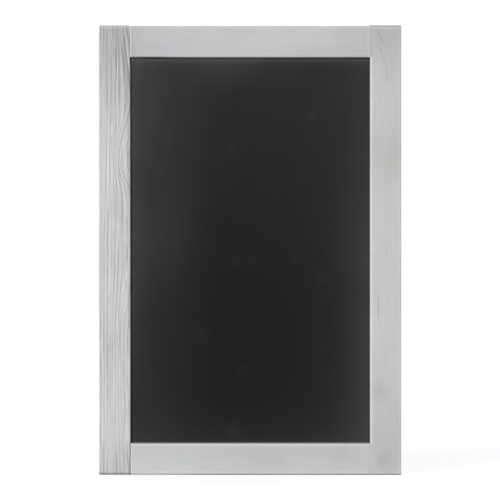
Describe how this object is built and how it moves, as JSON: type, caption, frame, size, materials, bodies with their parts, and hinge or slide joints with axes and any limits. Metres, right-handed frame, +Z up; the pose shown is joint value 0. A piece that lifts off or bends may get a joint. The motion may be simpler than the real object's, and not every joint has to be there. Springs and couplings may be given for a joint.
{
  "type": "menu board",
  "caption": "Wall-hung chalk menu board: a steel writing sheet in a rebated whitewashed pine frame with dowelled corners, D-ring hangers and rubber bumpers.",
  "frame": {"origin": "on the wall plane, behind the middle of the board's width and height", "axes": "+Z up, the writing side faces -Y, +Y into the wall, +X to the right of someone who reads the board"},
  "size_m": [0.508, 0.025, 0.756],
  "materials": {
    "whitewashed_pine": "thin white-grey wash over brushed pine, matt",
    "beech": "bare beech",
    "chalk_coating": "matt black chalk coating on sheet steel",
    "fibreboard": "bare fibreboard",
    "hardboard": "bare hardboard",
    "zinc_steel": "bright zinc plate",
    "bumper_rubber": "matt black rubber"
  },
  "bodies": {
    "board": {"left_stile": "whitewashed_pine", "right_stile": "whitewashed_pine", "top_rail": "whitewashed_pine", "bottom_rail": "whitewashed_pine", "top_left_outer_dowel": "beech", "top_left_inner_dowel": "beech", "bottom_left_outer_dowel": "beech", "bottom_left_inner_dowel": "beech", "top_right_outer_dowel": "beech", "top_right_inner_dowel": "beech", "bottom_right_outer_dowel": "beech", "bottom_right_inner_dowel": "beech", "writing_sheet": "chalk_coating", "core_board": "fibreboard", "back_panel": "hardboard", "left_point_1": "zinc_steel", "left_point_2": "zinc_steel", "left_point_3": "zinc_steel", "left_point_4": "zinc_steel", "right_point_1": "zinc_steel", "right_point_2": "zinc_steel", "right_point_3": "zinc_steel", "right_point_4": "zinc_steel", "top_point_1": "zinc_steel", "top_point_2": "zinc_steel", "top_point_3": "zinc_steel", "bottom_point_1": "zinc_steel", "bottom_point_2": "zinc_steel", "bottom_point_3": "zinc_steel", "left_hanger_strap": "zinc_steel", "left_upper_screw": "zinc_steel", "left_lower_screw": "zinc_steel", "right_hanger_strap": "zinc_steel", "right_upper_screw": "zinc_steel", "right_lower_screw": "zinc_steel", "left_bumper": "bumper_rubber", "right_bumper": "bumper_rubber"},
    "left_ring": {"left_d_ring": "zinc_steel"},
    "right_ring": {"right_d_ring": "zinc_steel"}
  },
  "joints": [
    {"name": "left_ring_swing", "type": "hinge", "parent": "board", "child": "left_ring", "pos_m": [-0.2315, -0.00335, 0.258], "axis": [-1, 0, 0], "range_deg": [0, 177]},
    {"name": "right_ring_swing", "type": "hinge", "parent": "board", "child": "right_ring", "pos_m": [0.2315, -0.00335, 0.258], "axis": [-1, 0, 0], "range_deg": [0, 177]}
  ]
}
